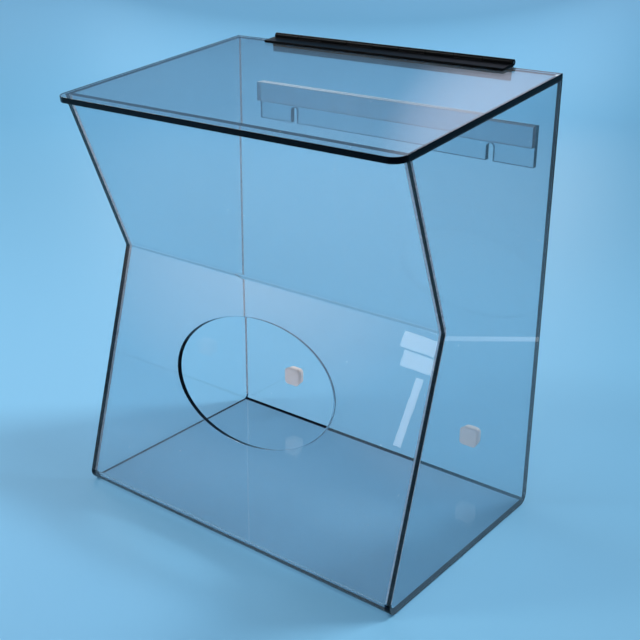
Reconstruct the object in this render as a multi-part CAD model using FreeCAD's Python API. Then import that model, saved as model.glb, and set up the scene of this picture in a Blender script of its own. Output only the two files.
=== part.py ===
import FreeCAD, Part
import math
import os

# Clear box with a sloping hinged lid, an oval hand hole and a wall hanger. Millimetres.
# X runs to the right, Y to the back and Z up; the origin is the bottom centre of the bounding box.

# Sheet stock, bends and films
SHEET = 4.5  # thickness of every clear sheet
BEND_R = 3.5  # inside radius of a line bend
BOND = 0.1  # cement film between bonded faces
LID_SEAT = 0.15  # air under the closed lid
EDGE_EASE = 0.4  # polished round along the outer sheet edges

# Side outline, measured forward from the outer face of the back and up from the base
BODY_W = 305.0  # over both side panels
BASE_D = 199.5  # depth at the base, to the sharp corner of the outline
WAIST_D = 142.5  # depth at the waist knee
WAIST_H = 195.0  # height of the waist knee
TOP_D = 192.5  # depth at the top edge of the front
BACK_H = 343.0  # height of the back at its outer face
LID_FALL = math.radians(6.5)  # fall of the lid towards the front

# Hand hole in the lower front
HOLE_W = 152.4
HOLE_H = 95.0
HOLE_UP = 128.2  # centre, measured up the lower front from the sharp base corner

# Lid
LID_LIP = 10.4  # finger lip past the front, along the lid
LID_CORNER_R = 10.0

# Hinge
HINGE_L = 224.0
KNUCKLES = 9
KNUCKLE_R = 2.4
KNUCKLE_GAP = 0.3
LEAF_T = 2.0
LEAF_REACH = 16.0  # from the pin axis to the free edge of a leaf
PIN_R = 1.0
PIN_DRIVE = 0.02  # radial play in the back leaf, which holds the pin
PIN_RUN = 0.06  # radial play in the lid leaf, which turns on it

# Wall hanger and bumpers on the back
HANGER_L = 261.5
HANGER_H = 31.5
HANGER_DOWN = 36.0  # from the top of the back to the top of the strip
SPACER_H = 16.0
NOTCH_W = 6.0
NOTCH_DEEP = 13.5
MOUNT_PITCH = 187.0  # notch to notch, and bumper to bumper
BUMPER_SIDE = 16.0
BUMPER_FACE = 14.5  # where the rim starts
BUMPER_CORNER_R = 3.5
BUMPER_ROUND = 1.2  # outer rim
BUMPER_STEPS = 4  # rings that make the rim
BUMPER_UP = 41.2

# Derived sizes
HANGER_TOP = BACK_H - HANGER_DOWN
STANDOFF = 2 * (BOND + SHEET)  # wall to back: cement, spacer, cement, strip
WRAP_W = BODY_W - 2 * (SHEET + BOND)
OUT_R = BEND_R + SHEET
LID_L = TOP_D / math.cos(LID_FALL) + LID_LIP
LID_FRONT = LID_L * math.cos(LID_FALL) + SHEET * math.sin(LID_FALL)
LEAN = math.atan2(BASE_D - WAIST_D, WAIST_H)  # of the lower front
BASE_FRONT = BASE_D - OUT_R * ((1 + math.sin(LEAN)) / math.cos(LEAN) - 1)  # foremost point of the base bend
BACK_Y = (max(LID_FRONT, BASE_FRONT) - STANDOFF) / 2  # outer face of the back


def seat_height(depth):
    """Height of the lid seat at a depth forward of the back."""
    return BACK_H - depth * math.tan(LID_FALL)


FRONT_TOP = (TOP_D, seat_height(TOP_D))
WAIST = (WAIST_D, WAIST_H)
FRONT_BASE = (BASE_D, 0.0)
REAR_BASE = (0.0, 0.0)
REAR_TOP = (0.0, BACK_H)

# Unit vector up through the lid, in (depth, height), and the rear edge of its underside
LID_UP = (math.sin(LID_FALL), math.cos(LID_FALL))
LID_REAR = (0.0, BACK_H + LID_SEAT / math.cos(LID_FALL))

# Pin axis: one knuckle radius and one film off the lid's top and off the back
AXIS_OFF = KNUCKLE_R + BOND
AXIS_D = -AXIS_OFF
LID_TOP_REAR = (LID_REAR[0] + SHEET * LID_UP[0], LID_REAR[1] + SHEET * LID_UP[1])
AXIS_Z = LID_TOP_REAR[1] + (AXIS_OFF + (LID_TOP_REAR[0] - AXIS_D) * LID_UP[0]) / LID_UP[1]


def at(x, depth, height):
    """Point from a place across, a depth forward of the back and a height."""
    return FreeCAD.Vector(x, BACK_Y - depth, height)


def cross_point(p, a, q, b):
    """Where the line through p along a meets the line through q along b."""
    den = a[0] * b[1] - a[1] * b[0]
    t = ((q[0] - p[0]) * b[1] - (q[1] - p[1]) * b[0]) / den
    return (p[0] + t * a[0], p[1] + t * a[1])


def unit(p, q):
    """Unit vector from p to q."""
    length = math.hypot(q[0] - p[0], q[1] - p[1])
    return ((q[0] - p[0]) / length, (q[1] - p[1]) / length)


def offset_path(points, gap):
    """Open path moved sideways by gap to the left of its direction, ends left to run on."""
    moved = []
    sides = []
    for p, q in zip(points, points[1:]):
        u = unit(p, q)
        sides.append(((p[0] - gap * u[1], p[1] + gap * u[0]), u))
    moved.append(sides[0][0])
    for (p, a), (q, b) in zip(sides, sides[1:]):
        moved.append(cross_point(p, a, q, b))
    end = sides[-1]
    last = points[-1]
    moved.append((last[0] - gap * end[1][1], last[1] + gap * end[1][0]))
    return moved


def rounded_edges(points, radii, x):
    """Edges of an open path in the side plane at x, with an arc of each radius at its inner points."""
    edges = []
    start = points[0]
    for before, corner, after, radius in zip(points, points[1:], points[2:], radii):
        u = unit(corner, before)
        w = unit(corner, after)
        half = math.acos(u[0] * w[0] + u[1] * w[1]) / 2
        run = radius / math.tan(half)
        mid = unit((0.0, 0.0), (u[0] + w[0], u[1] + w[1]))
        reach = radius / math.sin(half) - radius
        first = (corner[0] + run * u[0], corner[1] + run * u[1])
        top = (corner[0] + reach * mid[0], corner[1] + reach * mid[1])
        second = (corner[0] + run * w[0], corner[1] + run * w[1])
        edges.append(Part.makeLine(at(x, *start), at(x, *first)))
        edges.append(Part.Arc(at(x, *first), at(x, *top), at(x, *second)).toShape())
        start = second
    edges.append(Part.makeLine(at(x, *start), at(x, *points[-1])))
    return edges


def flat_solid(edges, push):
    """Solid made by pushing the face inside a closed run of edges."""
    return Part.Face(Part.Wire(Part.__sortEdges__(edges))).extrude(push)


def box_at(x0, x1, y0, y1, z0, z1):
    """Upright box between two corners."""
    return Part.makeBox(x1 - x0, y1 - y0, z1 - z0, FreeCAD.Vector(x0, y0, z0))


def make_wrap():
    """Front, base and back from one sheet bent on four lines, with the oval hand hole."""
    outer = [FRONT_TOP, WAIST, FRONT_BASE, REAR_BASE, REAR_TOP]
    inner = offset_path(outer, -SHEET)
    fall = (1.0, -math.tan(LID_FALL))
    inner[0] = cross_point(inner[0], unit(outer[0], outer[1]), REAR_TOP, fall)
    inner[-1] = cross_point(inner[-1], (0.0, 1.0), REAR_TOP, fall)
    x = -WRAP_W / 2
    edges = rounded_edges(outer, [BEND_R, OUT_R, OUT_R], x)
    edges += rounded_edges(inner, [OUT_R, BEND_R, BEND_R], x)
    edges.append(Part.makeLine(at(x, *outer[0]), at(x, *inner[0])))
    edges.append(Part.makeLine(at(x, *outer[-1]), at(x, *inner[-1])))
    sheet = flat_solid(edges, FreeCAD.Vector(WRAP_W, 0, 0))
    return sheet.cut(make_hole_cutter())


def make_hole_cutter():
    """Oval bar square to the lower front."""
    up = unit(FRONT_BASE, WAIST)
    out = (up[1], -up[0])
    reach = 4 * SHEET
    centre = (
        FRONT_BASE[0] + HOLE_UP * up[0] + reach * out[0],
        FRONT_BASE[1] + HOLE_UP * up[1] + reach * out[1],
    )
    tip = (centre[0] + HOLE_H / 2 * up[0], centre[1] + HOLE_H / 2 * up[1])
    oval = Part.Ellipse(at(HOLE_W / 2, *centre), at(0, *tip), at(0, *centre))
    push = at(0, centre[0] - 2 * reach * out[0], centre[1] - 2 * reach * out[1]) - at(0, *centre)
    return flat_solid([oval.toShape()], push)


def make_side(sign):
    """Side panel with the zigzag front edge, bonded over the ends of the wrap."""
    outline = [FRONT_TOP, WAIST, FRONT_BASE, REAR_BASE, REAR_TOP]
    x = sign * BODY_W / 2
    edges = rounded_edges(outline, [BEND_R, OUT_R, OUT_R], x)
    edges.append(Part.makeLine(at(x, *REAR_TOP), at(x, *FRONT_TOP)))
    panel = flat_solid(edges, FreeCAD.Vector(-sign * SHEET, 0, 0))
    rim = [e for e in panel.Edges if abs(e.BoundBox.XMin - x) < 1e-6 and abs(e.BoundBox.XMax - x) < 1e-6]
    return panel.makeFillet(EDGE_EASE, rim)


def lid_frame(solid):
    """Moves a solid drawn with its rear edge on Y = 0 and its underside on Z = 0 onto the lid seat."""
    tilt = FreeCAD.Rotation(FreeCAD.Vector(1, 0, 0), math.degrees(LID_FALL))
    solid.Placement = FreeCAD.Placement(at(0, *LID_REAR), tilt).multiply(solid.Placement)
    return solid


def make_lid():
    """Flat lid with rounded front corners and eased edges."""
    half = BODY_W / 2
    plate = box_at(-half, half, -LID_L, 0, 0, SHEET)
    corners = [e for e in plate.Edges if e.BoundBox.ZLength > SHEET / 2 and e.BoundBox.YMax < -LID_L / 2]
    plate = plate.makeFillet(LID_CORNER_R, corners)
    plate = plate.makeFillet(EDGE_EASE, [e for e in plate.Edges if e.BoundBox.ZLength < SHEET / 2])
    return lid_frame(plate)


def knuckle_spans(first):
    """Spans along X of every second knuckle, counted from first."""
    pitch = HINGE_L / KNUCKLES
    spans = []
    for i in range(first, KNUCKLES, 2):
        left = -HINGE_L / 2 + i * pitch
        spans.append((left, left + pitch))
    return spans


def make_leaf(own, other, bore_r):
    """Leaf that lies on Z = 0 and reaches along -Y from a pin axis at the height of one knuckle radius."""
    solid = box_at(-HINGE_L / 2, HINGE_L / 2, -LEAF_REACH, 0, 0, LEAF_T)
    free = [e for e in solid.Edges if e.BoundBox.YMax < -LEAF_REACH / 2 and e.BoundBox.XLength > LEAF_T]
    solid = solid.makeFillet(LEAF_T / 4, [e for e in free if e.BoundBox.ZMin > LEAF_T / 2])
    clear = KNUCKLE_R * (1 + math.tan(LID_FALL)) + KNUCKLE_GAP  # the closed leaves meet past square
    axis = FreeCAD.Vector(1, 0, 0)
    for left, right in other:
        room = box_at(left - KNUCKLE_GAP / 2, right + KNUCKLE_GAP / 2, -clear, clear, -clear, 2 * clear)
        solid = solid.cut(room)
    for left, right in own:
        start = max(left, -HINGE_L / 2) + KNUCKLE_GAP / 2
        length = min(right, HINGE_L / 2) - KNUCKLE_GAP / 2 - start
        solid = solid.fuse(Part.makeCylinder(KNUCKLE_R, length, FreeCAD.Vector(start, 0, KNUCKLE_R), axis))
    bore = Part.makeCylinder(bore_r, 2 * HINGE_L, FreeCAD.Vector(-HINGE_L, 0, KNUCKLE_R), axis)
    return solid.cut(bore).removeSplitter()


def make_lid_leaf():
    """Leaf bonded to the top of the lid."""
    leaf = make_leaf(knuckle_spans(1), knuckle_spans(0), PIN_R + PIN_RUN)
    tilt = FreeCAD.Rotation(FreeCAD.Vector(1, 0, 0), math.degrees(LID_FALL))
    foot = (AXIS_D - KNUCKLE_R * LID_UP[0], AXIS_Z - KNUCKLE_R * LID_UP[1])
    leaf.Placement = FreeCAD.Placement(at(0, *foot), tilt)
    return leaf


def make_back_leaf():
    """Leaf bonded to the outside of the back, hanging down from the pin."""
    leaf = make_leaf(knuckle_spans(0), knuckle_spans(1), PIN_R + PIN_DRIVE)
    leaf = leaf.mirror(FreeCAD.Vector(0, 0, 0), FreeCAD.Vector(0, 0, 1))
    turn = FreeCAD.Rotation(FreeCAD.Vector(1, 0, 0), 90)
    leaf.Placement = FreeCAD.Placement(at(0, -BOND, AXIS_Z), turn)
    return leaf


def make_pin():
    """Hinge pin, flush with the ends of the barrel."""
    start = at(-HINGE_L / 2, AXIS_D, AXIS_Z)
    return Part.makeCylinder(PIN_R, HINGE_L, start, FreeCAD.Vector(1, 0, 0))


def make_spacer():
    """Strip that holds the hanger off the back."""
    half = HANGER_L / 2
    near = BACK_Y + BOND
    return box_at(-half, half, near, near + SHEET, HANGER_TOP - SPACER_H, HANGER_TOP)


def make_hanger():
    """Strip over the spacer with two notches open at its free lower edge."""
    half = HANGER_L / 2
    near = BACK_Y + STANDOFF - SHEET
    low = HANGER_TOP - HANGER_H
    strip = box_at(-half, half, near, near + SHEET, low, HANGER_TOP)
    r = NOTCH_W / 2
    for x in (-MOUNT_PITCH / 2, MOUNT_PITCH / 2):
        head = low + NOTCH_DEEP - r
        slot = box_at(x - r, x + r, near - SHEET, near + 2 * SHEET, low - SHEET, head)
        rear = FreeCAD.Vector(x, near - SHEET, head)
        crown = Part.makeCylinder(r, 3 * SHEET, rear, FreeCAD.Vector(0, 1, 0))
        strip = strip.cut(slot.fuse(crown))
    return strip.removeSplitter()


def rounded_square(x, y, z, side, radius):
    """Closed wire of a rounded square standing in the plane at y."""
    h = side / 2
    k = h - radius
    d = k + radius * math.sqrt(0.5)
    arcs = []
    for turn in range(4):
        c = math.cos(turn * math.pi / 2)
        s = math.sin(turn * math.pi / 2)
        arc = []
        for p, q in ((h, k), (d, d), (k, h)):
            arc.append(FreeCAD.Vector(x + c * p - s * q, y, z + s * p + c * q))
        arcs.append(arc)
    edges = []
    for arc, after in zip(arcs, arcs[1:] + arcs[:1]):
        edges.append(Part.Arc(*arc).toShape())
        edges.append(Part.makeLine(arc[2], after[0]))
    return Part.Wire(edges)


def make_bumper(sign):
    """Square tapered bumper with a rounded outer rim, level with the hanger strip."""
    x = sign * MOUNT_PITCH / 2
    far = BACK_Y + STANDOFF
    sections = [rounded_square(x, BACK_Y + BOND, BUMPER_UP, BUMPER_SIDE, BUMPER_CORNER_R)]
    for step in range(BUMPER_STEPS + 1):
        turn = step / BUMPER_STEPS * math.pi / 2
        drawn_in = BUMPER_ROUND * (1 - math.cos(turn))
        y = far - BUMPER_ROUND * (1 - math.sin(turn))
        side = BUMPER_FACE - 2 * drawn_in
        sections.append(rounded_square(x, y, BUMPER_UP, side, BUMPER_CORNER_R - drawn_in))
    return Part.makeLoft(sections, True, True)


def main():
    os.makedirs("parts", exist_ok=True)
    pieces = {
        "wrap_sheet": make_wrap(),
        "left_side_panel": make_side(-1),
        "right_side_panel": make_side(1),
        "lid_panel": make_lid(),
        "hinge_lid_leaf": make_lid_leaf(),
        "hinge_back_leaf": make_back_leaf(),
        "hinge_pin": make_pin(),
        "hanger_spacer": make_spacer(),
        "hanger_strip": make_hanger(),
        "left_bumper": make_bumper(-1),
        "right_bumper": make_bumper(1),
    }
    for name, shape in pieces.items():
        shape.exportStep("parts/" + name + ".step")


main()
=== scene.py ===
"""Looks of a clear sheet box with a hinged sloping lid, an oval hand hole and a wall hanger."""

import logging
import math
from dataclasses import dataclass, field
from enum import Enum
from typing import Any, Iterable, Optional, Sequence

import bmesh
import bpy
from mathutils import Matrix, Quaternion, Vector


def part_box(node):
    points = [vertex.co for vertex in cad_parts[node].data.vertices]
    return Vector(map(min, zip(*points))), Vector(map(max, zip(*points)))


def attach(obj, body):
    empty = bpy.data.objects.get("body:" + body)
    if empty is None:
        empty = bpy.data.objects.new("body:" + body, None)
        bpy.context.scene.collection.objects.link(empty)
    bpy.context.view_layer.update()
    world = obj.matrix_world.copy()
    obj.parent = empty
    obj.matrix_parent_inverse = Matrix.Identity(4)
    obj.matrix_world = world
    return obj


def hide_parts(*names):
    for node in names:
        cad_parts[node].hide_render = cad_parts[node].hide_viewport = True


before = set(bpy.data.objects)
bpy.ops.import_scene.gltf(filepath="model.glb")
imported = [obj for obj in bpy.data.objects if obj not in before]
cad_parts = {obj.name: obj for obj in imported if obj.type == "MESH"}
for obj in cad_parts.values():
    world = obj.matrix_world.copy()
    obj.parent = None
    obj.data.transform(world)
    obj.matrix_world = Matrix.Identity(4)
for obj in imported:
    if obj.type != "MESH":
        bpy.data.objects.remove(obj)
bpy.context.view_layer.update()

MM = 0.001
LOG = logging.getLogger("clear_box")
Point = tuple[float, float]


class Body(Enum):
    """Rigid bodies of the frame."""

    BOX = "box"
    LID = "lid"


class Slot(Enum):
    """Material slots of the record."""

    SHEET = "clear_sheet"
    HINGE = "hinge_plastic"
    PIN = "pin_steel"
    BUMPER = "bumper_rubber"


class Side(Enum):
    """Left and right as signs along X."""

    LEFT = -1
    RIGHT = 1


class Mark(Enum):
    """What a finish has to know of a sheet's faces."""

    # Edge faces, and bends and welds that take a share of the edges' painted near-black shade
    CUT = "cut_edge_and_painted_shade"
    WELDED = "welded"
    ASIDE = "throws_aside"
    CEMENT = "cement"


def linear(code: str) -> tuple[float, float, float, float]:
    """Turns an sRGB hex colour into linear red, green, blue and alpha.

    Args:
        code: Six hex digits, with or without a leading hash.

    Returns:
        Linear values for a shader's colour socket.
    """
    values = [int(code.lstrip("#")[i : i + 2], 16) / 255 for i in (0, 2, 4)]
    red, green, blue = [v / 12.92 if v <= 0.04045 else ((v + 0.055) / 1.055) ** 2.4 for v in values]
    return red, green, blue, 1.0


def add_node(
    tree: bpy.types.NodeTree,
    kind: str,
    settings: Optional[dict[str, Any]] = None,
    inputs: Optional[dict[Any, Any]] = None,
) -> bpy.types.Node:
    """Adds a shader node, sets it up and links it.

    Args:
        tree: Node tree that gets the node.
        kind: Node type without its ShaderNode prefix.
        settings: Attributes of the node and their values.
        inputs: Input names or numbers, each with a plain value or with an output socket to link.

    Returns:
        The new node.
    """
    node = tree.nodes.new("ShaderNode" + kind)
    for name, value in (settings or {}).items():
        setattr(node, name, value)
    for name, value in (inputs or {}).items():
        if isinstance(value, bpy.types.NodeSocket):
            tree.links.new(value, node.inputs[name])
        else:
            node.inputs[name].default_value = value
    return node


def new_material(name: str) -> bpy.types.Material:
    """Makes an empty node material of that name."""
    material = bpy.data.materials.new(name)
    material.use_nodes = True
    material.node_tree.nodes.clear()
    return material


@dataclass(frozen=True)
class ClearAcrylic:
    """Cast acrylic sheet with bright faces and flame-polished edges.

    Thin across its faces it is nearly colourless, and along its length it goes navy, so its edges draw
    dark lines; on top of that its edge faces get a painted shade, a near-black colour and a dark gloss,
    which some bends and welds share in part. Handling leaves faint smears and specks on it. Welded faces
    let light pass as if they weren't there, and cement in a joint shows as a pale line. Edges and bends
    throw lamplight aside, and so does a face that the light only grazes, so they shade the floor.
    """

    name: str = "cast_acrylic_polished"
    ior: float = 1.49
    tint: str = "#F0F8FB"
    depth_tint: str = "#5F90AC"
    depth_density: float = 20.0
    lamp_tint: str = "#FCFDFE"
    aside_tint: str = "#6E7F8C"
    graze_blend: float = 0.5
    graze_power: float = 4.0
    graze_loss: float = 1.5
    # Painted shade: edge faces get a dark gloss and a near-black colour, which darken them more than the
    # absorption along the sheet does
    edge_painted_dark_gloss: str = "#101018"
    edge_painted_shade: str = "#020610"
    clearness: float = 0.972
    bubbles: tuple[float, float] = (0.6, 1.0)
    bubble_size: float = 1.5 * MM
    bubble_span: tuple[float, float] = (0.35, 0.65)
    bubble_colour: str = "#FFF2F4"
    face_roughness: float = 0.004
    edge_roughness: float = 0.05
    smear_roughness: float = 0.03
    smear_size: float = 60 * MM
    smear_span: tuple[float, float] = (0.52, 0.75)
    speck_spacing: float = 14 * MM
    speck_span: tuple[float, float] = (0.03, 0.02)
    speck_roughness: float = 0.35
    ripple_size: float = 1.2 * MM
    ripple_height: float = 0.05 * MM
    ripple_strength: float = 0.25
    haze: float = 0.0

    def roughness(self, tree: bpy.types.NodeTree, place: bpy.types.NodeSocket) -> bpy.types.NodeSocket:
        """Adds the smears and specks of the faces and the polish of the edges.

        Args:
            tree: Node tree of the material.
            place: Socket of the object's own coordinates.

        Returns:
            Socket of the roughness, which is nil on welded faces.
        """
        cut_and_shade = add_node(tree, "Attribute", {"attribute_name": Mark.CUT.value}).outputs["Fac"]
        weld = add_node(tree, "Attribute", {"attribute_name": Mark.WELDED.value}).outputs["Fac"]
        smear = add_node(
            tree, "TexNoise", inputs={"Vector": place, "Scale": 1 / self.smear_size, "Detail": 5.0}
        )
        smeared = add_node(
            tree,
            "MapRange",
            inputs={
                "Value": smear.outputs["Fac"],
                "From Min": self.smear_span[0],
                "From Max": self.smear_span[1],
                "To Min": self.face_roughness,
                "To Max": self.smear_roughness,
            },
        )
        cells = add_node(tree, "TexVoronoi", inputs={"Vector": place, "Scale": 1 / self.speck_spacing})
        speck = add_node(
            tree,
            "MapRange",
            inputs={
                "Value": cells.outputs["Distance"],
                "From Min": self.speck_span[0],
                "From Max": self.speck_span[1],
                "To Min": smeared.outputs["Result"],
                "To Max": self.speck_roughness,
            },
        )
        polished = add_node(
            tree, "Mix", inputs={"Factor": cut_and_shade, 2: speck.outputs["Result"], 3: self.edge_roughness}
        )
        return add_node(tree, "Mix", inputs={"Factor": weld, 2: polished.outputs[0], 3: 0.0}).outputs[0]

    def build(self) -> bpy.types.Material:
        """Makes the material.

        Returns:
            Refracting material with absorption inside, which lets lamps through.
        """
        material = new_material(self.name)
        tree = material.node_tree
        place = add_node(tree, "TexCoord").outputs["Object"]
        cut_and_shade, weld, aside, joint = (
            add_node(tree, "Attribute", {"attribute_name": mark.value}).outputs["Fac"] for mark in Mark
        )
        # Ripples left by the polishing flame, on the edge faces only
        ripple = add_node(
            tree, "TexNoise", inputs={"Vector": place, "Scale": 1 / self.ripple_size, "Detail": 2.0}
        )
        lift = add_node(tree, "Math", {"operation": "MULTIPLY"}, {0: ripple.outputs["Fac"], 1: cut_and_shade})
        bump = add_node(
            tree,
            "Bump",
            inputs={
                "Height": lift.outputs[0],
                "Strength": self.ripple_strength,
                "Distance": self.ripple_height,
            },
        )
        ior = add_node(tree, "Mix", inputs={"Factor": weld, 2: self.ior, 3: 1.0})
        # Painted shade: faces with the edge mark get the dark gloss and the near-black colour, in the share
        # the mark gives
        gloss = add_node(
            tree,
            "Mix",
            {"data_type": "RGBA"},
            {"Factor": cut_and_shade, 6: linear("#FFFFFF"), 7: linear(self.edge_painted_dark_gloss)},
        )
        tint = add_node(
            tree,
            "Mix",
            {"data_type": "RGBA"},
            {"Factor": cut_and_shade, 6: linear(self.tint), 7: linear(self.edge_painted_shade)},
        )
        clear = add_node(
            tree,
            "BsdfPrincipled",
            inputs={
                "Base Color": tint.outputs[2],
                "Roughness": self.roughness(tree, place),
                "IOR": ior.outputs[0],
                "Specular Tint": gloss.outputs[2],
                "Transmission Weight": self.clearness,
                "Normal": bump.outputs["Normal"],
            },
        )
        # Bubbles in the cement show as pale dots along the joints
        bubble = add_node(
            tree, "TexNoise", inputs={"Vector": place, "Scale": 1 / self.bubble_size, "Detail": 2.0}
        )
        dots = add_node(
            tree,
            "MapRange",
            inputs={
                "Value": bubble.outputs["Fac"],
                "From Min": self.bubble_span[0],
                "From Max": self.bubble_span[1],
                "To Min": self.bubbles[0],
                "To Max": self.bubbles[1],
            },
        )
        share = add_node(tree, "Math", {"operation": "MULTIPLY"}, {0: dots.outputs["Result"], 1: joint})
        share = add_node(tree, "Math", {"operation": "MAXIMUM"}, {0: share.outputs[0], 1: self.haze})
        cloudy = add_node(tree, "BsdfDiffuse", inputs={"Color": linear(self.bubble_colour)})
        surface = add_node(
            tree, "MixShader", inputs={0: share.outputs[0], 1: clear.outputs[0], 2: cloudy.outputs[0]}
        )
        # Lamps and the floor's own light pass the sheet straight, less where they only graze it
        facing = add_node(tree, "LayerWeight", inputs={"Blend": self.graze_blend}).outputs["Facing"]
        graze = add_node(tree, "Math", {"operation": "POWER"}, {0: facing, 1: self.graze_power})
        loss = add_node(tree, "Math", {"operation": "MULTIPLY"}, {0: graze.outputs[0], 1: self.graze_loss})
        away = add_node(tree, "Math", {"operation": "MAXIMUM"}, {0: loss.outputs[0], 1: aside})
        thrown = add_node(
            tree,
            "Mix",
            {"data_type": "RGBA"},
            {"Factor": away.outputs[0], 6: linear(self.lamp_tint), 7: linear(self.aside_tint)},
        )
        passing = add_node(tree, "BsdfTransparent", inputs={"Color": thrown.outputs[2]})
        path = add_node(tree, "LightPath")
        for ray in ("Is Diffuse Ray", "Is Shadow Ray"):
            sides = {0: path.outputs[ray], 1: surface.outputs[0], 2: passing.outputs[0]}
            surface = add_node(tree, "MixShader", inputs=sides)
        depth = add_node(
            tree, "VolumeAbsorption", inputs={"Color": linear(self.depth_tint), "Density": self.depth_density}
        )
        add_node(tree, "OutputMaterial", inputs={"Surface": surface.outputs[0], "Volume": depth.outputs[0]})
        return material


@dataclass(frozen=True)
class HingePlastic:
    """Extruded black polypropylene, satin, with fine lines along the pull of the die."""

    name: str = "polypropylene_black_extruded"
    colour: str = "#030303"
    roughness: float = 0.3
    gloss: float = 0.06
    ior: float = 1.49
    line_spacing: float = 0.35 * MM
    line_stretch: float = 0.02
    line_height: float = 0.05 * MM
    line_strength: float = 0.1
    roughness_spread: tuple[float, float] = (-0.06, 0.1)

    def build(self) -> bpy.types.Material:
        """Makes the material.

        Returns:
            Satin black material with die lines along X.
        """
        material = new_material(self.name)
        tree = material.node_tree
        place = add_node(tree, "TexCoord").outputs["Object"]
        along = add_node(tree, "Mapping", inputs={"Vector": place, "Scale": (self.line_stretch, 1.0, 1.0)})
        lines = add_node(
            tree,
            "TexNoise",
            inputs={"Vector": along.outputs[0], "Scale": 1 / self.line_spacing, "Detail": 3.0},
        )
        rough = add_node(
            tree,
            "MapRange",
            inputs={
                "Value": lines.outputs["Fac"],
                "To Min": self.roughness + self.roughness_spread[0],
                "To Max": self.roughness + self.roughness_spread[1],
            },
        )
        bump = add_node(
            tree,
            "Bump",
            inputs={
                "Height": lines.outputs["Fac"],
                "Strength": self.line_strength,
                "Distance": self.line_height,
            },
        )
        shader = add_node(
            tree,
            "BsdfPrincipled",
            inputs={
                "Base Color": linear(self.colour),
                "Roughness": rough.outputs["Result"],
                "IOR": self.ior,
                "Specular IOR Level": self.gloss,
                "Normal": bump.outputs["Normal"],
            },
        )
        add_node(tree, "OutputMaterial", inputs={"Surface": shader.outputs[0]})
        return material


@dataclass(frozen=True)
class PinSteel:
    """Drawn stainless wire, bright, with lines along the draw."""

    name: str = "stainless_wire_drawn"
    colour: str = "#6E6E6E"
    roughness: float = 0.34
    line_spacing: float = 0.2 * MM
    line_stretch: float = 0.03
    roughness_spread: tuple[float, float] = (-0.08, 0.1)

    def build(self) -> bpy.types.Material:
        """Makes the material.

        Returns:
            Bright metal with draw lines along X.
        """
        material = new_material(self.name)
        tree = material.node_tree
        place = add_node(tree, "TexCoord").outputs["Object"]
        along = add_node(tree, "Mapping", inputs={"Vector": place, "Scale": (self.line_stretch, 1.0, 1.0)})
        lines = add_node(
            tree, "TexNoise", inputs={"Vector": along.outputs[0], "Scale": 1 / self.line_spacing}
        )
        rough = add_node(
            tree,
            "MapRange",
            inputs={
                "Value": lines.outputs["Fac"],
                "To Min": self.roughness + self.roughness_spread[0],
                "To Max": self.roughness + self.roughness_spread[1],
            },
        )
        shader = add_node(
            tree,
            "BsdfPrincipled",
            inputs={"Base Color": linear(self.colour), "Metallic": 1.0, "Roughness": rough.outputs["Result"]},
        )
        add_node(tree, "OutputMaterial", inputs={"Surface": shader.outputs[0]})
        return material


@dataclass(frozen=True)
class BumperRubber:
    """Cast soft polyurethane, pale and cloudy, with a dull skin."""

    name: str = "polyurethane_cast_cloudy"
    colour: str = "#FFF2EC"
    shade: str = "#F8E6E0"
    roughness: float = 0.5
    glow: float = 0.3
    ior: float = 1.5
    lamp_pass: str = "#F4F2F0"
    cloud_size: float = 5 * MM
    grain_size: float = 0.6 * MM
    grain_height: float = 0.1 * MM
    grain_strength: float = 0.2

    def build(self) -> bpy.types.Material:
        """Makes the material.

        Returns:
            Pale cloudy material that lets some light through.
        """
        material = new_material(self.name)
        tree = material.node_tree
        place = add_node(tree, "TexCoord").outputs["Object"]
        cloud = add_node(
            tree, "TexNoise", inputs={"Vector": place, "Scale": 1 / self.cloud_size, "Detail": 4.0}
        )
        colour = add_node(
            tree,
            "Mix",
            {"data_type": "RGBA"},
            {"Factor": cloud.outputs["Fac"], 6: linear(self.colour), 7: linear(self.shade)},
        )
        grain = add_node(
            tree, "TexNoise", inputs={"Vector": place, "Scale": 1 / self.grain_size, "Detail": 2.0}
        )
        bump = add_node(
            tree,
            "Bump",
            inputs={
                "Height": grain.outputs["Fac"],
                "Strength": self.grain_strength,
                "Distance": self.grain_height,
            },
        )
        shader = add_node(
            tree,
            "BsdfPrincipled",
            inputs={
                "Base Color": colour.outputs[2],
                "Roughness": self.roughness,
                "IOR": self.ior,
                "Normal": bump.outputs["Normal"],
            },
        )
        passed = add_node(tree, "BsdfTranslucent", inputs={"Color": colour.outputs[2]})
        surface = add_node(
            tree, "MixShader", inputs={0: self.glow, 1: shader.outputs[0], 2: passed.outputs[0]}
        )
        # Its cloudy body spreads lamplight, so its own shadow stays faint
        passing = add_node(tree, "BsdfTransparent", inputs={"Color": linear(self.lamp_pass)})
        shadow = add_node(tree, "LightPath").outputs["Is Shadow Ray"]
        surface = add_node(
            tree, "MixShader", inputs={0: shadow, 1: surface.outputs[0], 2: passing.outputs[0]}
        )
        add_node(tree, "OutputMaterial", inputs={"Surface": surface.outputs[0]})
        return material


@dataclass(frozen=True)
class SeamlessPaper:
    """Pale blue background paper, calendered, with a broad faint sheen."""

    name: str = "seamless_paper_calendered"
    colour: str = "#71B1D7"
    roughness: float = 0.5
    ior: float = 1.5

    def build(self) -> bpy.types.Material:
        """Makes the material.

        Returns:
            Plain material, a little glossy.
        """
        material = new_material(self.name)
        tree = material.node_tree
        shader = add_node(
            tree,
            "BsdfPrincipled",
            inputs={"Base Color": linear(self.colour), "Roughness": self.roughness, "IOR": self.ior},
        )
        add_node(tree, "OutputMaterial", inputs={"Surface": shader.outputs[0]})
        return material


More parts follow.
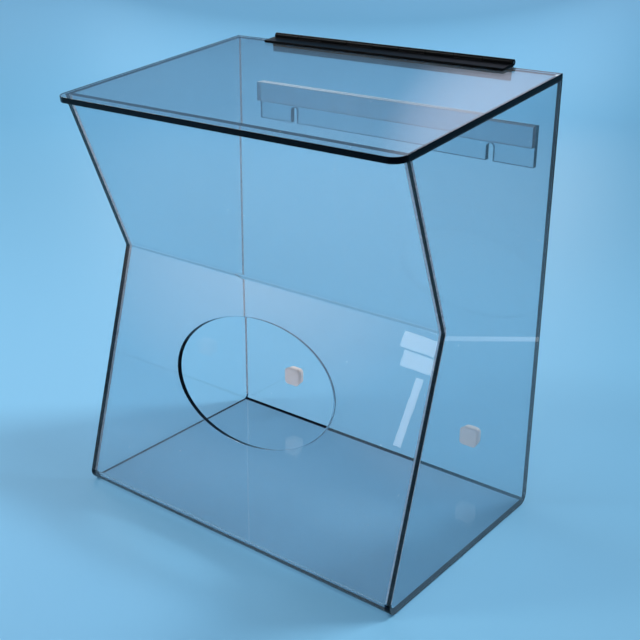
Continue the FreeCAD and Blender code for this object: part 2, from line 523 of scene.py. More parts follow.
def arc(centre: Point, radius: float, start: float, end: float, steps: int) -> list[Point]:
    """Points on a circular arc.

    Args:
        centre: Centre of the arc.
        radius: Its radius.
        start: First angle in radians.
        end: Last angle in radians.
        steps: How many chords it has.

    Returns:
        Points from start to end, both included.
    """
    turns = [start + (end - start) * i / steps for i in range(steps + 1)]
    return [(centre[0] + radius * math.cos(t), centre[1] + radius * math.sin(t)) for t in turns]


def bent_pairs(
    outline: Sequence[Point], sheet: float, inside: float, steps: int
) -> list[tuple[Vector, Vector]]:
    """Follows a sheet that is bent on lines and gives matching points on its two faces.

    Args:
        outline: Sharp corners of the outer face; the sheet lies to the right of the way along it.
        sheet: Thickness.
        inside: Inner radius of each bend.
        steps: Chords in each bend.

    Returns:
        Pairs of an outer and an inner point, with square ends.
    """
    corners = [Vector(p) for p in outline]
    ways = [(b - a).normalized() for a, b in zip(corners, corners[1:])]
    rights = [Vector((w.y, -w.x)) for w in ways]
    pairs = [(corners[0], corners[0] + sheet * rights[0])]
    for corner, way, after, first, last in zip(corners[1:], ways, ways[1:], rights, rights[1:]):
        right_turn = way.x * after.y - way.y * after.x < 0
        sign = 1 if right_turn else -1
        outer = inside + sheet if right_turn else inside
        centre = corner + sign * outer * (first + last) / (1 + first.dot(last))
        swing = math.atan2(first.x * last.y - first.y * last.x, first.dot(last))
        for i in range(steps + 1):
            normal = Matrix.Rotation(swing * i / steps, 2) @ first
            pairs.append((centre - sign * outer * normal, centre - (sign * outer - sheet) * normal))
    pairs.append((corners[-1], corners[-1] + sheet * rights[-1]))
    return pairs


def rounded(outline: Sequence[Point], radii: Sequence[float], steps: int) -> list[Point]:
    """Closed outline with round corners.

    Args:
        outline: Sharp corners in order.
        radii: Radius at each corner, 0 for a sharp one.
        steps: Chords in each round.

    Returns:
        Points of the rounded outline.
    """
    corners = [Vector(p) for p in outline]
    points: list[Point] = []
    for i, (corner, radius) in enumerate(zip(corners, radii)):
        if not radius:
            points.append(tuple(corner))
            continue
        to_last = (corners[i - 1] - corner).normalized()
        to_next = (corners[(i + 1) % len(corners)] - corner).normalized()
        half = to_last.angle(to_next) / 2
        centre = corner + (to_last + to_next).normalized() * radius / math.sin(half)
        start = corner + to_last * radius / math.tan(half) - centre
        end = corner + to_next * radius / math.tan(half) - centre
        first = math.atan2(start.y, start.x)
        swing = math.atan2(start.x * end.y - start.y * end.x, start.dot(end))
        points += arc(tuple(centre), radius, first, first + swing, steps)
    return points


def new_sheet_mesh() -> bmesh.types.BMesh:
    """Makes an empty mesh whose faces can be marked."""
    bm = bmesh.new()
    for mark in Mark:
        bm.faces.layers.float.new(mark.value)
    return bm


def mark_faces(bm: bmesh.types.BMesh, faces: Iterable[bmesh.types.BMFace], marks: dict[Mark, float]) -> None:
    """Marks faces of a sheet for its finish.

    Args:
        bm: Mesh that holds the faces.
        faces: Faces to mark.
        marks: What they are, and how much.
    """
    layers = {bm.faces.layers.float[mark.value]: amount for mark, amount in marks.items()}
    for face in faces:
        for layer, amount in layers.items():
            face[layer] = amount


def prism(points: Sequence[Point], place: Matrix, thickness: float) -> bmesh.types.BMesh:
    """Pushes a flat outline into a plate.

    Args:
        points: Outline in the plate's own X and Y.
        place: Matrix from there to the row frame.
        thickness: How far it is pushed along its own Z.

    Returns:
        Closed mesh whose walls are marked as edges, which a clear sheet's finish gives a painted near-black
        shade.
    """
    bm = new_sheet_mesh()
    low = [bm.verts.new(place @ Vector((x, y, 0.0))) for x, y in points]
    high = [bm.verts.new(place @ Vector((x, y, thickness))) for x, y in points]
    bm.faces.new(low)
    bm.faces.new(high)
    walls = []
    for i in range(len(points)):
        j = (i + 1) % len(points)
        walls.append(bm.faces.new((low[i], low[j], high[j], high[i])))
    mark_faces(bm, walls, {Mark.CUT: 1.0, Mark.ASIDE: 1.0})
    return bm


def ease(bm: bmesh.types.BMesh, width: float, sharp: float = math.radians(40), steps: int = 3) -> None:
    """Rounds the sharp edges of a closed mesh, apart from welded ones.

    Args:
        bm: Mesh to change.
        width: Width of the round.
        sharp: Edges that turn by more than this are rounded.
        steps: Chords in the round.
    """
    bmesh.ops.recalc_face_normals(bm, faces=bm.faces)
    weld = bm.faces.layers.float.get(Mark.WELDED.value)
    edges = [e for e in bm.edges if e.is_manifold and e.calc_face_angle() > sharp]
    if weld:
        joints = [e for e in edges if any(face[weld] for face in e.link_faces)]
        edges = [e for e in edges if e not in joints]
        for edge in joints:
            edge.smooth = False
    bmesh.ops.bevel(
        bm,
        geom=edges,
        offset=width,
        offset_type="OFFSET",
        segments=steps,
        profile=0.5,
        affect="EDGES",
        clamp_overlap=True,
    )


def make_piece(
    name: str, bm: bmesh.types.BMesh, body: Body, node: str, material: bpy.types.Material
) -> bpy.types.Object:
    """Turns a mesh into a piece that stands for a node of the frame.

    Args:
        name: Name of the piece.
        bm: Its mesh, in the row frame; it is freed.
        body: Body that it moves with.
        node: Node that it replaces.
        material: Its finish.

    Returns:
        The new object.
    """
    bmesh.ops.recalc_face_normals(bm, faces=bm.faces)
    for face in bm.faces:
        face.smooth = True
    mesh = bpy.data.meshes.new(name)
    bm.to_mesh(mesh)
    bm.free()
    mesh.materials.append(material)
    piece = bpy.data.objects.new(name, mesh)
    bpy.context.scene.collection.objects.link(piece)
    normals = piece.modifiers.new("flat_faces", "WEIGHTED_NORMAL")
    normals.weight = 100
    normals.keep_sharp = True
    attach(piece, body.value)
    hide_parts(node)
    LOG.info("%s: %d faces on %s for %s", name, len(mesh.polygons), body.value, node)
    return piece


@dataclass
class SheetBox:
    """Bent front, base and back with the hand hole, and the two sides bonded over its ends."""

    sheet: float = 4.5 * MM
    bend_r: float = 3.5 * MM
    base_d: float = 199.5 * MM
    waist_d: float = 142.5 * MM
    waist_h: float = 195.0 * MM
    top_d: float = 192.5 * MM
    fall: float = math.radians(6.5)
    hole_w: float = 152.4 * MM
    hole_h: float = 95.0 * MM
    hole_up: float = 128.2 * MM
    eased: float = 0.4 * MM
    bend_shade: float = 0.2
    # Shares of the edges' painted near-black shade, for the rear bend, the waist bend, the sides' front edges
    # and each side's base weld
    rear_bend_painted_shade: float = 1.0
    waist_painted_shade: float = 0.35
    front_edge_painted_shade: float = 0.1
    base_weld_painted_shade: dict[Side, float] = field(default_factory=lambda: {Side.LEFT: 0.8, Side.RIGHT: 0.0})
    front_cement: float = 1.0
    back_cement: dict[Side, float] = field(default_factory=lambda: {Side.LEFT: 1.0, Side.RIGHT: 0.0})
    bend_steps: int = 16
    # Faces of the waist bend and of the rear bend that take the painted shade
    waist_steps: tuple[int, int] = (6, 10)
    rear_steps: tuple[int, int] = (4, 9)
    quarter_steps: int = 36

    def __post_init__(self) -> None:
        """Takes the place of the back, its height and the width from the frame."""
        _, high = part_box("wrap_sheet")
        self.back_y = high.y
        self.back_h = high.z
        self.half_wrap = high.x
        self.half_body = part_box("right_side_panel")[1].x

    def seat(self, depth: float) -> float:
        """Height of the lid's seat at a depth forward of the back."""
        return self.back_h - depth * math.tan(self.fall)

    def outline(self) -> list[Point]:
        """Sharp corners of the side outline, as depths forward of the back and heights."""
        return [
            (self.top_d, self.seat(self.top_d)),
            (self.waist_d, self.waist_h),
            (self.base_d, 0.0),
            (0.0, 0.0),
            (0.0, self.back_h),
        ]

    def at(self, x: float, point: Sequence[float]) -> Vector:
        """Point of the row frame from a place across, and a depth and a height."""
        return Vector((x, self.back_y - point[0], point[1]))

    def level_ends(self, pairs: list[tuple[Vector, Vector]]) -> None:
        """Slides the inner points of both ends along the sheet onto the lid's seat.

        Args:
            pairs: Outer and inner points, changed in place.
        """
        slope = math.tan(self.fall)
        for end, beside in ((0, 1), (-1, -2)):
            outer, inner = pairs[end]
            way = pairs[beside][1] - inner
            run = (self.back_h - slope * inner.x - inner.y) / (way.y + slope * way.x)
            pairs[end] = (outer, inner + run * way)

    def hole_points(self, centre: Vector, up: Vector) -> list[tuple[float, Vector]]:
        """Points of the hand hole's rim on one face.

        Args:
            centre: Centre of the hole in depth and height.
            up: Unit vector up the panel.

        Returns:
            Places across with their depth and height, starting in the lower right quarter's middle.
        """
        count = 4 * self.quarter_steps
        turns = [math.tau * (i / count) - math.pi / 4 for i in range(count)]
        return [
            (self.hole_w / 2 * math.cos(t), centre + self.hole_h / 2 * math.sin(t) * up) for t in turns
        ]

    def holed_face(
        self,
        bm: bmesh.types.BMesh,
        corners: Sequence[bmesh.types.BMVert],
        centre: Vector,
        up: Vector,
    ) -> list[bmesh.types.BMVert]:
        """Fills a flat panel round its hand hole with four faces.

        Args:
            bm: Mesh that gets the faces.
            corners: Lower right, upper right, upper left and lower left corner.
            centre: Centre of the hole in depth and height.
            up: Unit vector up the panel.

        Returns:
            Vertices of the rim in order.
        """
        rim = [bm.verts.new(self.at(x, p)) for x, p in self.hole_points(centre, up)]
        count = len(rim)
        for quarter in range(4):
            first = quarter * self.quarter_steps
            part = [rim[(first + i) % count] for i in range(self.quarter_steps + 1)]
            bm.faces.new([corners[quarter]] + part + [corners[(quarter + 1) % 4]])
        return rim

    def wrap_mesh(self) -> bmesh.types.BMesh:
        """Builds the bent sheet with its hand hole.

        Returns:
            Closed mesh with eased edges.
        """
        outline = self.outline()
        pairs = bent_pairs(outline, self.sheet, self.bend_r, self.bend_steps)
        self.level_ends(pairs)
        bm = new_sheet_mesh()
        half = self.half_wrap
        rows = [[[bm.verts.new(self.at(x, p)) for x in (-half, half)] for p in pair] for pair in pairs]
        cut_and_shade = [bm.faces.new(rows[end][0] + rows[end][1][::-1]) for end in (0, -1)]
        stretch = self.bend_steps + 1  # a flat stretch with the bend that follows it
        holed = stretch  # the flat stretch that follows the waist bend
        welds, bends, waist_bend, rear_bend = [], [], [], []
        for i, (this, after) in enumerate(zip(rows, rows[1:])):
            for k in (0, 1):
                welds.append(bm.faces.new((this[0][k], after[0][k], after[1][k], this[1][k])))
                if i != holed:
                    face = bm.faces.new((this[k][0], this[k][1], after[k][1], after[k][0]))
                    if i % stretch:
                        bends.append(face)
                    if self.rear_steps[0] <= i - 2 * stretch <= self.rear_steps[1]:
                        rear_bend.append(face)
                    if self.waist_steps[0] <= i <= self.waist_steps[1]:
                        waist_bend.append(face)
        cut_and_shade += self.hand_hole(bm, rows[holed], rows[holed + 1])
        # The ends and the hole's wall take the edges' painted near-black shade, and the rear bend and the
        # middle of the waist bend take part of it, which draws dark lines along them
        mark_faces(bm, cut_and_shade, {Mark.CUT: 1.0, Mark.ASIDE: 1.0})
        mark_faces(bm, bends, {Mark.ASIDE: self.bend_shade})
        mark_faces(bm, rear_bend, {Mark.CUT: self.rear_bend_painted_shade})
        mark_faces(bm, waist_bend, {Mark.CUT: self.waist_painted_shade})
        mark_faces(bm, welds, {Mark.WELDED: 1.0})
        ease(bm, self.eased)
        return bm

    def hand_hole(
        self,
        bm: bmesh.types.BMesh,
        upper: list[list[bmesh.types.BMVert]],
        lower: list[list[bmesh.types.BMVert]],
    ) -> list[bmesh.types.BMFace]:
        """Closes the lower front round the hand hole.

        Args:
            bm: Mesh that gets the faces.
            upper: Outer and inner vertices, left and right, at the panel's top.
            lower: The same at its bottom.

        Returns:
            Faces of the hole's wall.
        """
        corner, waist = Vector(self.outline()[2]), Vector(self.outline()[1])
        up = (waist - corner).normalized()
        inward = Vector((-up.y, up.x))
        rims = []
        for k in (0, 1):
            centre = corner + self.hole_up * up + k * self.sheet * inward
            corners = (lower[k][1], upper[k][1], upper[k][0], lower[k][0])
            rims.append(self.holed_face(bm, corners, centre, up))
        count = len(rims[0])
        walls = []
        for i in range(count):
            j = (i + 1) % count
            walls.append(bm.faces.new((rims[0][i], rims[0][j], rims[1][j], rims[1][i])))
        return walls

    def side_mesh(self, side: Side) -> bmesh.types.BMesh:
        """Builds one side panel, with a strip inside where the bent sheet is welded on.

        Args:
            side: Left or right.

        Returns:
            Closed mesh with eased edges.
        """
        pairs = bent_pairs(self.outline(), self.sheet, self.bend_r, self.bend_steps)
        self.level_ends(pairs)
        outer = side.value * self.half_body
        inner = outer - side.value * self.sheet
        bm = new_sheet_mesh()
        rim = [bm.verts.new(self.at(inner, pair[0])) for pair in pairs]
        strip = [bm.verts.new(self.at(inner, pair[1])) for pair in pairs]
        near = rim + [strip[-1], strip[0]]
        far = [bm.verts.new((outer, v.co.y, v.co.z)) for v in near]
        welds = [
            bm.faces.new((rim[i], rim[i + 1], strip[i + 1], strip[i])) for i in range(len(pairs) - 1)
        ]
        bm.faces.new(strip)
        bm.faces.new(far)
        walls = []
        for i in range(len(near)):
            j = (i + 1) % len(near)
            walls.append(bm.faces.new((near[i], near[j], far[j], far[i])))
        # The walls take the edges' painted near-black shade, the front ones only a little of it
        mark_faces(bm, walls, {Mark.CUT: 1.0, Mark.ASIDE: 1.0})
        front = self.bend_steps + 2  # faces of the upper front, the waist bend and the lower front
        base = 2 * (self.bend_steps + 1)  # number of the base's face, after two flat faces with their bends
        mark_faces(bm, walls[:front], {Mark.CUT: self.front_edge_painted_shade, Mark.ASIDE: 0.0})
        mark_faces(bm, welds, {Mark.WELDED: 1.0})
        mark_faces(bm, welds[:front], {Mark.CEMENT: self.front_cement})
        mark_faces(bm, welds[-1:], {Mark.CEMENT: self.back_cement[side]})
        # Painted shade: the left side's base weld takes most of the edges' near-black colour, which draws a
        # dark line along it
        mark_faces(bm, welds[base : base + 1], {Mark.CUT: self.base_weld_painted_shade[side]})
        ease(bm, self.eased)
        return bm

    def build(self, acrylic: bpy.types.Material, clean: bpy.types.Material) -> None:
        """Makes the three clear pieces.

        Args:
            acrylic: Finish of the bent sheet.
            clean: Finish of the sides.
        """
        make_piece("bent_wrap", self.wrap_mesh(), Body.BOX, "wrap_sheet", acrylic)
        for side in Side:
            label = side.name.lower()
            node = label + "_side_panel"
            make_piece(label + "_side", self.side_mesh(side), Body.BOX, node, clean)


@dataclass
class SlopingLid:
    """Flat lid with round front corners, which falls towards the front."""

    box: SheetBox
    lip: float = 10.4 * MM
    corner_r: float = 10.0 * MM
    seat_gap: float = 0.15 * MM
    eased: float = 0.4 * MM
    corner_steps: int = 16

    def rear(self) -> Vector:
        """Middle of the rear edge of the lid's underside."""
        height = self.box.back_h + self.seat_gap / math.cos(self.box.fall)
        return Vector((0.0, self.box.back_y, height))

    def tilt(self) -> Matrix:
        """Matrix from the lid's own frame, with Y to the rear and Z through it, to the row frame."""
        return Matrix.Translation(self.rear()) @ Matrix.Rotation(self.box.fall, 4, "X")

    def build(self, acrylic: bpy.types.Material) -> None:
        """Makes the lid.

        Args:
            acrylic: Finish of the sheet.
        """
        half = self.box.half_body
        length = self.box.top_d / math.cos(self.box.fall) + self.lip
        outline = [(-half, -length), (half, -length), (half, 0.0), (-half, 0.0)]
        points = rounded(outline, (self.corner_r, self.corner_r, 0, 0), self.corner_steps)
        bm = prism(points, self.tilt(), self.box.sheet)
        ease(bm, self.eased)
        make_piece("lid_sheet", bm, Body.LID, "lid_panel", acrylic)


@dataclass
class StripHinge:
    """Two leaves with knuckles in turn, on one pin along the rear of the lid."""

    lid: SlopingLid
    knuckles: int = 9
    axis_up: float = 2.4 * MM
    barrel_r: float = 2.39 * MM
    gap: float = 0.3 * MM
    leaf_t: float = 2.0 * MM
    reach: float = 16.0 * MM
    pin_r: float = 1.0 * MM
    play: float = 0.04 * MM
    eased: float = 0.25 * MM
    eased_from: float = math.radians(50)
    eased_steps: int = 2
    pin_eased: float = 0.1 * MM
    barrel_steps: int = 48

    def __post_init__(self) -> None:
        """Takes the hinge's length and the pin's place from the frame."""
        low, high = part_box("hinge_pin")
        self.half = high.x
        self.axis = (low + high) / 2
        self.clear = self.axis_up * (1 + math.tan(self.lid.box.fall)) + self.gap

    def barrel_profile(self) -> list[Point]:
        """Rim of a knuckle and its tongue, from the leaf's underside round to its top.

        Returns:
            Points in the leaf's own Y and Z, with the pin's axis over the end of the tongue.
        """
        meet = math.pi + math.asin((self.axis_up - self.leaf_t) / self.barrel_r)
        turns = self.barrel_steps
        top = arc((0.0, self.axis_up), self.barrel_r, -math.pi / 2, math.pi / 2, turns // 2)
        rear = arc((0.0, self.axis_up), self.barrel_r, math.pi / 2, meet, turns // 3)
        return [(-self.clear, 0.0)] + top + rear[1:] + [(-self.clear, self.leaf_t)]

    def leaf_mesh(self, first: int, place: Matrix) -> bmesh.types.BMesh:
        """Builds one leaf with every second knuckle.

        Args:
            first: Number of its first knuckle.
            place: Matrix from the leaf's own frame to the row frame.

        Returns:
            Closed mesh with bored knuckles and eased edges.
        """
        bm = bmesh.new()
        pitch = 2 * self.half / self.knuckles
        stations = [(-self.half, False)]
        for i in range(self.knuckles):
            left = -self.half + i * pitch
            if i % 2 == first:
                stations += [(left + self.gap / 2, True), (left + pitch - self.gap / 2, False)]
        stations.append((self.half, False))
        profile = self.barrel_profile()
        steps = self.barrel_steps // 2
        bore_r = self.pin_r + self.play
        bore = arc((0.0, self.axis_up), bore_r, -math.pi / 2, 3 * math.pi / 2, 2 * steps)[:-1]
        plate = [
            (-self.reach, 0.0),
            (-self.clear, 0.0),
            (-self.clear, self.leaf_t),
            (-self.reach, self.leaf_t),
        ]

        def ring(x: float, points: Sequence[Point]) -> list[bmesh.types.BMVert]:
            """Vertices of a profile at a place along the hinge."""
            return [bm.verts.new(place @ Vector((x, y, z))) for y, z in points]

        plates = [ring(x, plate) for x, _ in stations]
        for i, ((x0, own), (x1, _)) in enumerate(zip(stations, stations[1:])):
            a, b = plates[i], plates[i + 1]
            for j, k in ((0, 1), (2, 3), (3, 0)):
                bm.faces.new((a[j], a[k], b[k], b[j]))
            if not own:
                bm.faces.new((a[1], a[2], b[2], b[1]))
                continue
            caps = []
            for x, rim in ((x0, a), (x1, b)):
                outer = [rim[1]] + ring(x, profile[1:-1]) + [rim[2]]
                inner = ring(x, bore)
                half_way = steps + 1
                bm.faces.new(outer[1 : half_way + 1] + inner[steps::-1])
                bm.faces.new(outer[half_way:] + outer[:2] + [inner[0]] + inner[:steps - 1 : -1])
                caps.append((outer, inner))
            (outer_a, inner_a), (outer_b, inner_b) = caps
            for j in range(len(outer_a) - 1):
                bm.faces.new((outer_a[j], outer_a[j + 1], outer_b[j + 1], outer_b[j]))
            for j in range(len(inner_a)):
                k = (j + 1) % len(inner_a)
                bm.faces.new((inner_a[j], inner_a[k], inner_b[k], inner_b[j]))
        for end in (plates[0], plates[-1]):
            bm.faces.new(end)
        ease(bm, self.eased, self.eased_from, self.eased_steps)
        return bm

    def build(self, plastic: bpy.types.Material, steel: bpy.types.Material) -> None:
        """Makes both leaves and the pin.

        Args:
            plastic: Finish of the leaves.
            steel: Finish of the pin.
        """
        drop = Matrix.Translation((0.0, 0.0, -self.axis_up))
        at_axis = Matrix.Translation(self.axis)
        on_lid = at_axis @ Matrix.Rotation(self.lid.box.fall, 4, "X") @ drop
        on_back = at_axis @ Matrix.Rotation(math.pi / 2, 4, "X") @ Matrix.Scale(-1, 4, (0, 0, 1)) @ drop
        lid_leaf = self.leaf_mesh(1, on_lid)
        back_leaf = self.leaf_mesh(0, on_back)
        make_piece("black_lid_leaf", lid_leaf, Body.LID, "hinge_lid_leaf", plastic)
        make_piece("black_back_leaf", back_leaf, Body.BOX, "hinge_back_leaf", plastic)
        points = arc((0.0, 0.0), self.pin_r, 0.0, math.tau, self.barrel_steps)[:-1]
        columns = ((0.0, 0.0, 1.0), (1.0, 0.0, 0.0), (0.0, 1.0, 0.0))
        place = Matrix.Translation(self.axis - Vector((self.half, 0, 0))) @ Matrix(columns).to_4x4()
        pin = prism(points, place, 2 * self.half)
        ease(pin, self.pin_eased)
        make_piece("wire_pin", pin, Body.BOX, "hinge_pin", steel)


@dataclass
class WallHanger:
    """Notched strip on a spacer, and two bumpers, all on the outside of the back."""

    notch_w: float = 6.0 * MM
    notch_deep: float = 13.5 * MM
    pitch: float = 187.0 * MM
    eased: float = 0.3 * MM
    crown_steps: int = 20
    corner_r: float = 3.5 * MM
    face_side: float = 14.5 * MM
    rim_r: float = 1.2 * MM
    rim_steps: int = 6
    corner_steps: int = 10

    def strip_outline(self, low: Vector, high: Vector) -> list[Point]:
        """Outline of the strip with its two notches.

        Args:
            low: Lowest corner of the strip.
            high: Highest corner.

        Returns:
            Points in X and Z.
        """
        points = [(low.x, low.z)]
        radius = self.notch_w / 2
        for x in (-self.pitch / 2, self.pitch / 2):
            points.append((x - radius, low.z))
            points += arc((x, low.z + self.notch_deep - radius), radius, math.pi, 0.0, self.crown_steps)
            points.append((x + radius, low.z))
        return points + [(high.x, low.z), (high.x, high.z), (low.x, high.z)]

    def plate(self, node: str, outline: Sequence[Point]) -> bmesh.types.BMesh:
        """Plate in X and Z, as thick and as far back as a node.

        Args:
            node: Node that gives its place in Y.
            outline: Its outline in X and Z.

        Returns:
            Closed mesh with eased edges.
        """
        low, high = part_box(node)
        columns = ((1.0, 0.0, 0.0), (0.0, 0.0, 1.0), (0.0, 1.0, 0.0))
        place = Matrix.Translation((0.0, low.y, 0.0)) @ Matrix(columns).to_4x4()
        bm = prism(outline, place, high.y - low.y)
        ease(bm, self.eased)
        return bm

    def bumper_mesh(self, node: str) -> bmesh.types.BMesh:
        """Builds one square bumper, drawn in towards a rounded rim.

        Args:
            node: Node that gives its place and its size at the back.

        Returns:
            Closed mesh.
        """
        low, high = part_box(node)
        x, z = (low.x + high.x) / 2, (low.z + high.z) / 2
        rings = [(low.y, (high.x - low.x) / 2, self.corner_r)]
        for i in range(self.rim_steps + 1):
            turn = math.pi / 2 * i / self.rim_steps
            drawn_in = self.rim_r * (1 - math.cos(turn))
            y = high.y - self.rim_r * (1 - math.sin(turn))
            rings.append((y, self.face_side / 2 - drawn_in, self.corner_r - drawn_in))
        bm = bmesh.new()
        loops = []
        for y, h, radius in rings:
            square = rounded([(-h, -h), (h, -h), (h, h), (-h, h)], [radius] * 4, self.corner_steps)
            loops.append([bm.verts.new((x + u, y, z + v)) for u, v in square])
        for this, after in zip(loops, loops[1:]):
            for i in range(len(this)):
                j = (i + 1) % len(this)
                bm.faces.new((this[i], this[j], after[j], after[i]))
        bm.faces.new(loops[0])
        bm.faces.new(loops[-1])
        return bm

    def build(
        self, sawn: bpy.types.Material, cemented: bpy.types.Material, rubber: bpy.types.Material
    ) -> None:
        """Makes the strip, its spacer and the bumpers.

        Args:
            sawn: Finish of the strip.
            cemented: Finish of the spacer.
            rubber: Finish of the bumpers.
        """
        low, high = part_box("hanger_strip")
        strip = self.plate("hanger_strip", self.strip_outline(low, high))
        make_piece("notched_strip", strip, Body.BOX, "hanger_strip", sawn)
        low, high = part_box("hanger_spacer")
        outline = [(low.x, low.z), (high.x, low.z), (high.x, high.z), (low.x, high.z)]
        spacer = self.plate("hanger_spacer", outline)
        make_piece("strip_spacer", spacer, Body.BOX, "hanger_spacer", cemented)
        for side in Side:
            node = side.name.lower() + "_bumper"
            make_piece(node + "_soft", self.bumper_mesh(node), Body.BOX, node, rubber)


@dataclass(frozen=True)
class Lamp:
    """Soft rectangular lamp.

    Attributes:
        place: Where its middle is.
        aim: Point that it faces.
        size: Width and height.
        radiance: Brightness of its face, where 1 is white.
        colour: Colour of its light.
        reach: Angle off its axis at which its light has faded out.
    """

    name: str
    place: tuple[float, float, float]
    aim: tuple[float, float, float]
    size: tuple[float, float]
    radiance: float
    colour: str = "#FFFFFF"
    reach: float = math.pi / 2

    def build(self) -> None:
        """Makes the lamp, which shows as a reflection and not through clear pieces."""
        data = bpy.data.lights.new(self.name, "AREA")
        data.shape = "RECTANGLE"
        data.size, data.size_y = self.size
        data.spread = 2 * self.reach
        narrowed = 1 - self.reach / math.tan(self.reach)  # a narrow beam needs less power to look as bright
        data.energy = self.radiance * narrowed * math.pi * self.size[0] * self.size[1]
        data.color = linear(self.colour)[:3]
        lamp = bpy.data.objects.new(self.name, data)
        lamp.location = self.place
        lamp.visible_transmission = False
        lamp.rotation_euler = (Vector(self.aim) - Vector(self.place)).to_track_quat("-Z", "Y").to_euler()
        bpy.context.scene.collection.objects.link(lamp)


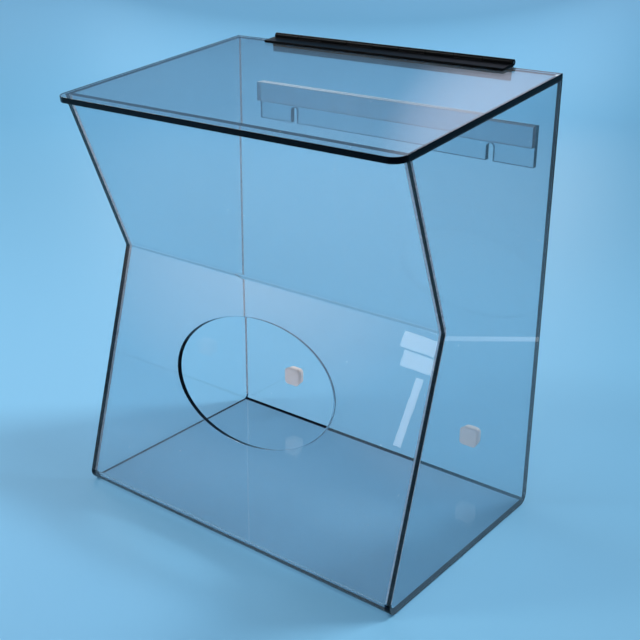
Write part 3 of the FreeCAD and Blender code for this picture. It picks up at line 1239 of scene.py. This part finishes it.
@dataclass
class Studio:
    """Round bowl of pale paper, soft lamps and the camera."""

    middle_r: float = 0.25
    floor_r: float = 1.6
    sweep_r: float = 0.5
    wall_top: float = 0.5
    drop: float = 0.2 * MM
    turn_steps: int = 96
    sweep_steps: int = 16
    ambient: float = 0.17
    horizon: str = "#86B4D6"
    overhead: str = "#3F7196"
    rise_span: tuple[float, float] = (0.08, 0.3)
    glow: str = "#D8DAEE"
    glow_way: tuple[float, float, float] = (-0.453, 0.785, 0.423)
    glow_reach: tuple[float, float] = (math.radians(7.0), math.radians(2.5))
    azimuth: float = math.radians(37.713)
    elevation: float = math.radians(22.088)
    roll: float = math.radians(0.390)
    distance: float = 846.224 * MM
    target: tuple[float, float, float] = (15.323 * MM, -2.929 * MM, 157.380 * MM)
    lens: float = 61.722
    bounces: int = 32
    lamps: tuple[Lamp, ...] = (
        Lamp(
            "key_softbox",
            (0.55, 0.95, 1.7),
            (-0.5, -0.3, 0.0),
            (0.35, 0.35),
            85.0,
            reach=math.radians(50.0),
        ),
        Lamp("fill_softbox", (-1.2, -0.9, 1.7), (0.0, 0.0, 0.1), (0.5, 0.5), 26.0),
        Lamp("side_softbox", (-1.5, 0.6, 1.3), (-0.7, 0.4, 0.0), (0.8, 0.8), 3.0, "#FFF1E6"),
        Lamp(
            "wall_softbox",
            (-0.3, 0.9, 1.5),
            (-0.92, 1.745, 0.15),
            (0.5, 0.5),
            15.0,
            reach=math.radians(45.0),
        ),
        Lamp("back_softbox", (-1.05, 1.5, 0.48), (-0.25, 0.4, 0.0), (1.2, 0.34), 2.8),
        # A pale line along the right side, where the paper's edge is reflected
        Lamp("paper_edge", (0.338, 0.366, 0.006), (-0.229, -0.367, 0.382), (0.104, 0.005), 1.0),
        Lamp("front_softbox", (0.25, -1.6, 0.75), (0.0, 0.0, 0.15), (1.2, 0.4), 4.5),
        # A pale veil on the lower front, which shows how it leans, and windows at its right end
        Lamp(
            "pale_wall",
            (-1.016, -1.297, 0.429),
            (-0.02, -0.045, 0.19),
            (0.9, 0.7),
            3.2,
            "#FFE0CC",
            math.radians(10.0),
        ),
        Lamp("window_top", (-0.597, -1.351, 0.316), (0.12, -0.05, 0.18), (0.073, 0.033), 4.5),
        Lamp("window_middle", (-0.588, -1.360, 0.279), (0.12, -0.05, 0.17), (0.073, 0.033), 4.5),
        Lamp("window_low", (-0.583, -1.376, 0.178), (0.12, -0.05, 0.14), (0.016, 0.145), 4.5),
    )

    def bowl(self, paper: bpy.types.Material) -> None:
        """Makes the floor with its rim swept up all round.

        Args:
            paper: Finish of the floor.
        """
        profile = [(0.0, 0.0), (self.middle_r, 0.0), (self.floor_r, 0.0)]
        centre = (self.floor_r, self.sweep_r)
        profile += arc(centre, self.sweep_r, -math.pi / 2, 0.0, self.sweep_steps)[1:]
        profile.append((self.floor_r + self.sweep_r, self.wall_top))
        bm = bmesh.new()
        turns = [math.tau * i / self.turn_steps for i in range(self.turn_steps)]
        middle = bm.verts.new((0.0, 0.0, -self.drop))
        loops = [
            [bm.verts.new((r * math.cos(t), r * math.sin(t), z - self.drop)) for t in turns]
            for r, z in profile[1:]
        ]
        for i in range(self.turn_steps):
            j = (i + 1) % self.turn_steps
            bm.faces.new((middle, loops[0][i], loops[0][j]))
            for this, after in zip(loops, loops[1:]):
                bm.faces.new((this[i], after[i], after[j], this[j]))
        for face in bm.faces:
            face.smooth = True
        mesh = bpy.data.meshes.new("paper_bowl")
        bm.to_mesh(mesh)
        bm.free()
        mesh.materials.append(paper)
        floor = bpy.data.objects.new("paper_bowl", mesh)
        bpy.context.scene.collection.objects.link(floor)

    def world(self) -> None:
        """Gives even light from all round, and shows a dim room over the bowl."""
        world = bpy.data.worlds.new("room")
        bpy.context.scene.world = world
        world.use_nodes = True
        tree = world.node_tree
        tree.nodes.clear()
        path = add_node(tree, "LightPath")
        seen = add_node(
            tree,
            "Math",
            {"operation": "MAXIMUM"},
            {0: path.outputs["Is Camera Ray"], 1: path.outputs["Is Glossy Ray"]},
        )
        seen = add_node(
            tree,
            "Math",
            {"operation": "MAXIMUM"},
            {0: seen.outputs[0], 1: path.outputs["Is Transmission Ray"]},
        )
        even = add_node(tree, "Background", inputs={"Color": linear("#FFFFFF"), "Strength": self.ambient})
        way = add_node(tree, "TexCoord").outputs["Generated"]
        height = add_node(tree, "SeparateXYZ", inputs={"Vector": way}).outputs["Z"]
        rise = add_node(
            tree,
            "MapRange",
            inputs={"Value": height, "From Min": self.rise_span[0], "From Max": self.rise_span[1]},
        )
        wall = add_node(
            tree,
            "Mix",
            {"data_type": "RGBA"},
            {"Factor": rise.outputs["Result"], 6: linear(self.horizon), 7: linear(self.overhead)},
        )
        toward = add_node(tree, "VectorMath", {"operation": "DOT_PRODUCT"}, {0: way, 1: self.glow_way})
        spot = add_node(
            tree,
            "MapRange",
            {"interpolation_type": "SMOOTHSTEP"},
            {
                "Value": toward.outputs["Value"],
                "From Min": math.cos(self.glow_reach[0]),
                "From Max": math.cos(self.glow_reach[1]),
            },
        )
        lit = add_node(
            tree,
            "Mix",
            {"data_type": "RGBA"},
            {"Factor": spot.outputs["Result"], 6: wall.outputs[2], 7: linear(self.glow)},
        )
        room = add_node(tree, "Background", inputs={"Color": lit.outputs[2], "Strength": 1.0})
        mixed = add_node(
            tree, "MixShader", inputs={0: seen.outputs[0], 1: even.outputs[0], 2: room.outputs[0]}
        )
        add_node(tree, "OutputWorld", inputs={"Surface": mixed.outputs[0]})

    def camera(self) -> None:
        """Places the camera where the photograph was taken from."""
        level = math.cos(self.elevation)
        back = Vector(
            (math.sin(self.azimuth) * level, -math.cos(self.azimuth) * level, math.sin(self.elevation))
        )
        data = bpy.data.cameras.new("camera")
        data.lens = self.lens
        camera = bpy.data.objects.new("camera", data)
        camera.location = Vector(self.target) + self.distance * back
        camera.rotation_mode = "QUATERNION"
        spin = Quaternion((0.0, 0.0, 1.0), self.roll)
        camera.rotation_quaternion = (-back).to_track_quat("-Z", "Y") @ spin
        bpy.context.scene.collection.objects.link(camera)
        bpy.context.scene.camera = camera

    def build(self, paper: bpy.types.Material) -> None:
        """Makes the whole studio.

        Args:
            paper: Finish of the floor.
        """
        self.bowl(paper)
        self.world()
        for lamp in self.lamps:
            lamp.build()
        self.camera()
        scene = bpy.context.scene
        scene.view_settings.view_transform = "Standard"
        scene.cycles.max_bounces = self.bounces
        scene.cycles.transmission_bounces = self.bounces
        scene.cycles.transparent_max_bounces = self.bounces
        LOG.info("studio: %d lamps", len(self.lamps))


def main() -> None:
    """Builds every sub-assembly in order."""
    logging.basicConfig(level=logging.INFO, format="%(name)s: %(message)s")
    acrylic = ClearAcrylic().build()
    box = SheetBox()
    clean = ClearAcrylic(name="cast_acrylic_clean", clearness=0.995).build()
    box.build(acrylic, clean)
    lid = SlopingLid(box)
    lid.build(acrylic)
    StripHinge(lid).build(HingePlastic().build(), PinSteel().build())
    sawn = ClearAcrylic(name="cast_acrylic_sawn", face_roughness=0.02, clearness=0.93).build()
    cemented = ClearAcrylic(
        name="cast_acrylic_cemented", face_roughness=0.12, smear_roughness=0.2, haze=0.1
    ).build()
    WallHanger().build(sawn, cemented, BumperRubber().build())
    Studio().build(SeamlessPaper().build())
    bpy.context.view_layer.update()


if __name__ == "__main__":
    main()
